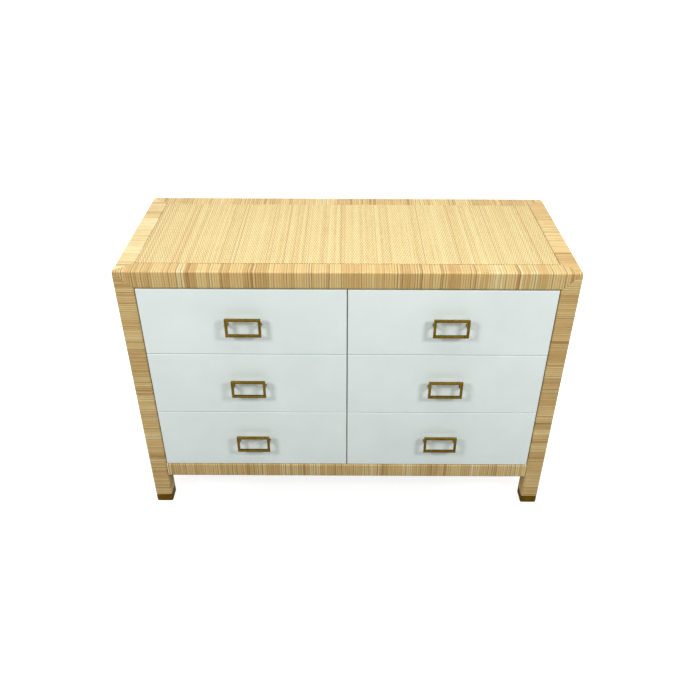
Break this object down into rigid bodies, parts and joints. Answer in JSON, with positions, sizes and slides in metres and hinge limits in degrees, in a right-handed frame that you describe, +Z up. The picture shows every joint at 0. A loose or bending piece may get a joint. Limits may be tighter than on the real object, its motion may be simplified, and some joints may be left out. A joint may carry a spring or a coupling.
{
  "type": "double dresser",
  "caption": "Double dresser: cane-wrapped frame on brass-capped feet, flush woven top and sides, and paired columns of white lacquered drawers on wooden runners with open brass pulls.",
  "frame": {"origin": "on the floor, under the middle of the whole piece with its pulls", "axes": "+X to the right along the width as seen from the front, +Y to the back, +Z up; the drawer fronts face -Y"},
  "size_m": [1.32, 0.564, 0.902],
  "materials": {
    "cane_wrap": "natural cane strands, close wound, satin",
    "woven_mat": "fine woven cane matting, satin",
    "white_lacquer": "smooth cool white satin lacquer",
    "aged_brass": "antique brass, brushed and darkened",
    "drawer_wood": "pale sanded hardwood, clear sealed",
    "plywood": "plain plywood, unfinished"
  },
  "bodies": {
    "case": {"back_panel": "plywood", "bottom_panel": "plywood", "bottom_rail_back": "cane_wrap", "bottom_rail_front": "cane_wrap", "bottom_rail_left": "cane_wrap", "bottom_rail_right": "cane_wrap", "centre_divider": "plywood", "foot_cap_back_left": "aged_brass", "foot_cap_back_right": "aged_brass", "foot_cap_front_left": "aged_brass", "foot_cap_front_right": "aged_brass", "post_back_left": "cane_wrap", "post_back_right": "cane_wrap", "post_front_left": "cane_wrap", "post_front_right": "cane_wrap", "runner_side_left": "plywood", "runner_side_right": "plywood", "side_panel_left": "woven_mat", "side_panel_right": "woven_mat", "top_panel": "woven_mat", "top_rail_back": "cane_wrap", "top_rail_front": "cane_wrap", "top_rail_left": "cane_wrap", "top_rail_right": "cane_wrap"},
    "drawer_top_left": {"drawer_top_left_back": "drawer_wood", "drawer_top_left_bottom": "drawer_wood", "drawer_top_left_front": "white_lacquer", "drawer_top_left_pull": "aged_brass", "drawer_top_left_side_left": "drawer_wood", "drawer_top_left_side_right": "drawer_wood"},
    "drawer_top_right": {"drawer_top_right_back": "drawer_wood", "drawer_top_right_bottom": "drawer_wood", "drawer_top_right_front": "white_lacquer", "drawer_top_right_pull": "aged_brass", "drawer_top_right_side_left": "drawer_wood", "drawer_top_right_side_right": "drawer_wood"},
    "drawer_middle_left": {"drawer_middle_left_back": "drawer_wood", "drawer_middle_left_bottom": "drawer_wood", "drawer_middle_left_front": "white_lacquer", "drawer_middle_left_pull": "aged_brass", "drawer_middle_left_side_left": "drawer_wood", "drawer_middle_left_side_right": "drawer_wood"},
    "drawer_middle_right": {"drawer_middle_right_back": "drawer_wood", "drawer_middle_right_bottom": "drawer_wood", "drawer_middle_right_front": "white_lacquer", "drawer_middle_right_pull": "aged_brass", "drawer_middle_right_side_left": "drawer_wood", "drawer_middle_right_side_right": "drawer_wood"},
    "drawer_bottom_left": {"drawer_bottom_left_back": "drawer_wood", "drawer_bottom_left_bottom": "drawer_wood", "drawer_bottom_left_front": "white_lacquer", "drawer_bottom_left_pull": "aged_brass", "drawer_bottom_left_side_left": "drawer_wood", "drawer_bottom_left_side_right": "drawer_wood"},
    "drawer_bottom_right": {"drawer_bottom_right_back": "drawer_wood", "drawer_bottom_right_bottom": "drawer_wood", "drawer_bottom_right_front": "white_lacquer", "drawer_bottom_right_pull": "aged_brass", "drawer_bottom_right_side_left": "drawer_wood", "drawer_bottom_right_side_right": "drawer_wood"}
  },
  "joints": [
    {"name": "drawer_top_left_slide", "type": "slide", "parent": "case", "child": "drawer_top_left", "axis": [0, -1, 0], "range_m": [0, 0.38]},
    {"name": "drawer_top_right_slide", "type": "slide", "parent": "case", "child": "drawer_top_right", "axis": [0, -1, 0], "range_m": [0, 0.38]},
    {"name": "drawer_middle_left_slide", "type": "slide", "parent": "case", "child": "drawer_middle_left", "axis": [0, -1, 0], "range_m": [0, 0.38]},
    {"name": "drawer_middle_right_slide", "type": "slide", "parent": "case", "child": "drawer_middle_right", "axis": [0, -1, 0], "range_m": [0, 0.38]},
    {"name": "drawer_bottom_left_slide", "type": "slide", "parent": "case", "child": "drawer_bottom_left", "axis": [0, -1, 0], "range_m": [0, 0.38]},
    {"name": "drawer_bottom_right_slide", "type": "slide", "parent": "case", "child": "drawer_bottom_right", "axis": [0, -1, 0], "range_m": [0, 0.38]}
  ]
}
